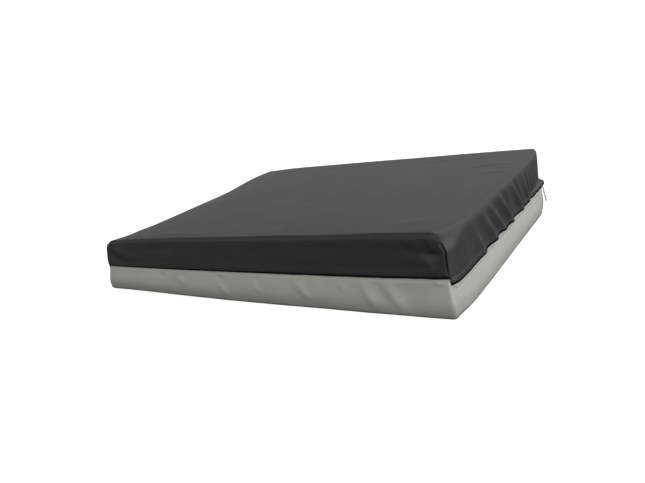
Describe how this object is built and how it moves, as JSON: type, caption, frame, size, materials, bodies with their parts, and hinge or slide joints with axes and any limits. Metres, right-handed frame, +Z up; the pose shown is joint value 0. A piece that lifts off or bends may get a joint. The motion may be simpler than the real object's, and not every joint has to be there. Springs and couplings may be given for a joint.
{
  "type": "pressure relief mattress",
  "caption": "Rectangular foam pressure relief mattress in a wipe-clean cover: dark stretch top with a zip-hiding skirt, grey base, zip round three sides, cut foam top layer inside.",
  "frame": {"origin": "centre of the underside, on the surface that the mattress lies on", "axes": "+X along the front edge to the right, +Y from the sewn front edge to the zipped back edge, +Z up"},
  "size_m": [0.9, 0.69, 0.15],
  "materials": {
    "cover_fabric": "satin",
    "base_fabric": "satin",
    "zip_tape": "matte",
    "zip_coil": "satin",
    "zip_metal": "satin",
    "soft_foam": "matte",
    "core_foam": "matte",
    "rail_foam": "matte"
  },
  "bodies": {
    "base": {"base_cover": "base_fabric", "foam_core": "core_foam", "foam_rail_left": "rail_foam", "foam_rail_right": "rail_foam", "foam_top_layer": "soft_foam", "zip_tape_lower": "zip_tape", "zip_coil_lower": "zip_coil", "zip_stop_right": "zip_metal", "zip_stop_left": "zip_metal"},
    "cover": {"top_cover": "cover_fabric", "zip_facing": "cover_fabric", "zip_tape_upper": "zip_tape", "zip_coil_upper": "zip_coil"},
    "slider_right": {"zip_slider_right": "zip_metal"},
    "pull_right": {"zip_pull_right": "zip_metal"},
    "slider_back": {"zip_slider_back": "zip_metal"},
    "pull_back": {"zip_pull_back": "zip_metal"}
  },
  "joints": [
    {"name": "cover_opening", "type": "hinge", "parent": "base", "child": "cover", "pos_m": [0, -0.345, 0.071], "axis": [1, 0, 0], "range_deg": [0, 105]},
    {"name": "zip_right_travel", "type": "slide", "parent": "base", "child": "slider_right", "axis": [0, -1, 0], "range_m": [0, 0.636]},
    {"name": "pull_right_swing", "type": "hinge", "parent": "slider_right", "child": "pull_right", "pos_m": [0.447, 0.318, 0.071], "axis": [1, 0, 0], "range_deg": [-50, 20]},
    {"name": "zip_back_travel", "type": "slide", "parent": "base", "child": "slider_back", "axis": [-1, 0, 0], "range_m": [0, 0.846]},
    {"name": "pull_back_swing", "type": "hinge", "parent": "slider_back", "child": "pull_back", "pos_m": [0.423, 0.342, 0.071], "axis": [0, 1, 0], "range_deg": [-20, 50]}
  ]
}
